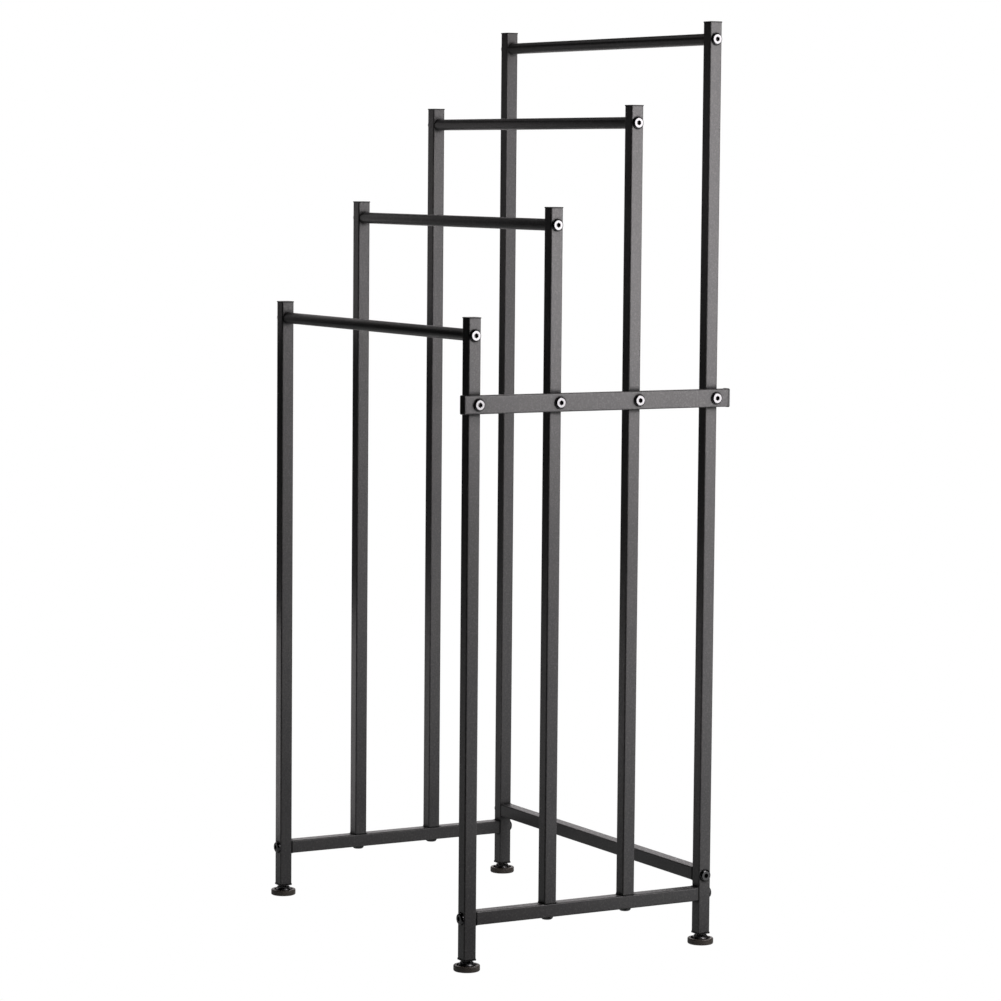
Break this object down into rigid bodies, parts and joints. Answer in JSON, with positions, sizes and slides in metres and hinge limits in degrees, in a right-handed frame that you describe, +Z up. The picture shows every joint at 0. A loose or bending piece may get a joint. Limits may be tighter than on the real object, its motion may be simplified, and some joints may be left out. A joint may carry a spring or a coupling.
{
  "type": "stepped bar rack",
  "caption": "Free-standing stepped rack: round hanging bars between square-tube posts of rising height, tied by base rails, a back rail and a side brace, on levelling feet.",
  "frame": {"origin": "middle of the overall footprint, on the floor that the feet stand on", "axes": "+X to the rack's right, the side with the brace; -Y to its low front; +Z up"},
  "size_m": [0.49, 0.336, 1.0299],
  "materials": {
    "powder_coat": "black powder coat, finely textured, satin",
    "black_plastic": "moulded black plastic, satin",
    "foot_nylon": "moulded black nylon, lightly scuffed",
    "black_steel": "glossy black zinc plate",
    "plain_steel": "plain turned steel, hidden inside the tubes"
  },
  "bodies": {
    "frame": {"bar_1": "powder_coat", "bar_2": "powder_coat", "bar_3": "powder_coat", "bar_4": "powder_coat", "bar_bolts": "black_steel", "bar_end_plugs": "plain_steel", "brace_bolts": "black_steel", "brace_cap_back": "black_plastic", "brace_cap_front": "black_plastic", "brace_nuts": "plain_steel", "cross_rail": "powder_coat", "cross_rail_bolts": "black_steel", "cross_rail_plug_left": "black_plastic", "cross_rail_plug_right": "black_plastic", "foot_insert_back_left": "black_plastic", "foot_insert_back_right": "black_plastic", "foot_insert_front_left": "black_plastic", "foot_insert_front_right": "black_plastic", "left_base_rail": "powder_coat", "left_post_1": "powder_coat", "left_post_2": "powder_coat", "left_post_3": "powder_coat", "left_post_4": "powder_coat", "left_post_cap_1": "black_plastic", "left_post_cap_2": "black_plastic", "left_post_cap_3": "black_plastic", "left_post_cap_4": "black_plastic", "left_post_plug_2": "black_plastic", "left_post_plug_3": "black_plastic", "left_rail_plug_back": "black_plastic", "left_rail_plug_front": "black_plastic", "middle_post_bolts": "black_steel", "rail_bolts": "black_steel", "right_base_rail": "powder_coat", "right_post_1": "powder_coat", "right_post_2": "powder_coat", "right_post_3": "powder_coat", "right_post_4": "powder_coat", "right_post_cap_1": "black_plastic", "right_post_cap_2": "black_plastic", "right_post_cap_3": "black_plastic", "right_post_cap_4": "black_plastic", "right_post_plug_2": "black_plastic", "right_post_plug_3": "black_plastic", "right_rail_plug_back": "black_plastic", "right_rail_plug_front": "black_plastic", "side_brace": "powder_coat"},
    "pad_front_left": {"foot_pad_front_left": "foot_nylon"},
    "stud_front_left": {"foot_stud_front_left": "black_steel"},
    "pad_back_left": {"foot_pad_back_left": "foot_nylon"},
    "stud_back_left": {"foot_stud_back_left": "black_steel"},
    "pad_front_right": {"foot_pad_front_right": "foot_nylon"},
    "stud_front_right": {"foot_stud_front_right": "black_steel"},
    "pad_back_right": {"foot_pad_back_right": "foot_nylon"},
    "stud_back_right": {"foot_stud_back_right": "black_steel"}
  },
  "joints": [
    {"name": "foot_height_front_left", "type": "slide", "parent": "frame", "child": "pad_front_left", "axis": [0, 0, -1], "range_m": [-0.00125, 0.012]},
    {"name": "foot_screw_front_left", "type": "hinge", "parent": "pad_front_left", "child": "stud_front_left", "pos_m": [-0.2305, -0.15, 0], "axis": [0, 0, -1], "range_deg": [-361, 3457]},
    {"name": "foot_height_back_left", "type": "slide", "parent": "frame", "child": "pad_back_left", "axis": [0, 0, -1], "range_m": [-0.00125, 0.012]},
    {"name": "foot_screw_back_left", "type": "hinge", "parent": "pad_back_left", "child": "stud_back_left", "pos_m": [-0.2305, 0.15, 0], "axis": [0, 0, -1], "range_deg": [-361, 3457]},
    {"name": "foot_height_front_right", "type": "slide", "parent": "frame", "child": "pad_front_right", "axis": [0, 0, -1], "range_m": [-0.00125, 0.012]},
    {"name": "foot_screw_front_right", "type": "hinge", "parent": "pad_front_right", "child": "stud_front_right", "pos_m": [0.2245, -0.15, 0], "axis": [0, 0, -1], "range_deg": [-361, 3457]},
    {"name": "foot_height_back_right", "type": "slide", "parent": "frame", "child": "pad_back_right", "axis": [0, 0, -1], "range_m": [-0.00125, 0.012]},
    {"name": "foot_screw_back_right", "type": "hinge", "parent": "pad_back_right", "child": "stud_back_right", "pos_m": [0.2245, 0.15, 0], "axis": [0, 0, -1], "range_deg": [-361, 3457]}
  ],
  "couplings": [
    {"joint": "foot_screw_front_left", "follows": "foot_height_front_left", "rad_per_m": 5026.5},
    {"joint": "foot_screw_back_left", "follows": "foot_height_back_left", "rad_per_m": 5026.5},
    {"joint": "foot_screw_front_right", "follows": "foot_height_front_right", "rad_per_m": 5026.5},
    {"joint": "foot_screw_back_right", "follows": "foot_height_back_right", "rad_per_m": 5026.5}
  ]
}
